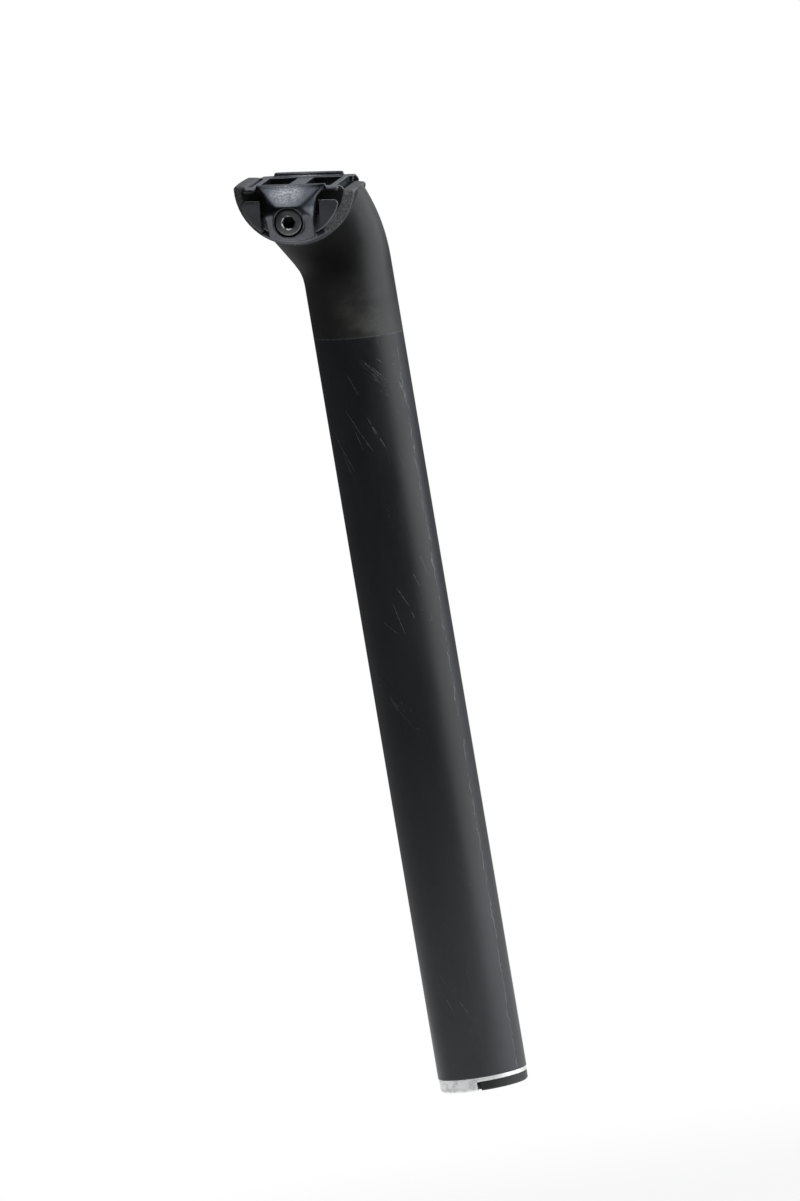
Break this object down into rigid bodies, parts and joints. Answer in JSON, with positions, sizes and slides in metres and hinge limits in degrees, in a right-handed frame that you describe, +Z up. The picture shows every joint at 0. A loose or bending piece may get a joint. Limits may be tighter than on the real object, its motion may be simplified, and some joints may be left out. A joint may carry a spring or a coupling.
{
  "type": "bicycle seatpost",
  "caption": "Setback bicycle seatpost: hollow round tube, bent neck and cup-shaped head with a tilting side-bolt clamp for round saddle rails.",
  "frame": {"origin": "on the tube's axis at the tube's lower end, where the end ring starts", "axes": "+Z up the tube, +X to the front of the bicycle, +Y to its left"},
  "size_m": [0.0491, 0.0618, 0.3293],
  "materials": {
    "carbon": "satin black coat over carbon fibre laminate, scratched where it slides in the frame",
    "bare_aluminium": "turned, scuffed",
    "black_plastic": "moulded, matt",
    "dark_aluminium": "blasted and dark anodised",
    "dark_steel": "black oxide, worn"
  },
  "bodies": {
    "post": {"post": "carbon", "end_ring": "bare_aluminium", "end_plug": "black_plastic"},
    "clamp": {"cradle": "dark_aluminium", "clamp_plate_right": "dark_aluminium", "clamp_plate_left": "dark_aluminium", "clamp_bolt": "dark_steel", "bolt_washer": "dark_steel", "clamp_nut": "dark_steel"}
  },
  "joints": [
    {"name": "saddle_tilt", "type": "hinge", "parent": "post", "child": "clamp", "pos_m": [-0.01149, 0, 0.32196], "axis": [0, 1, 0], "range_deg": [-15, 15]}
  ]
}
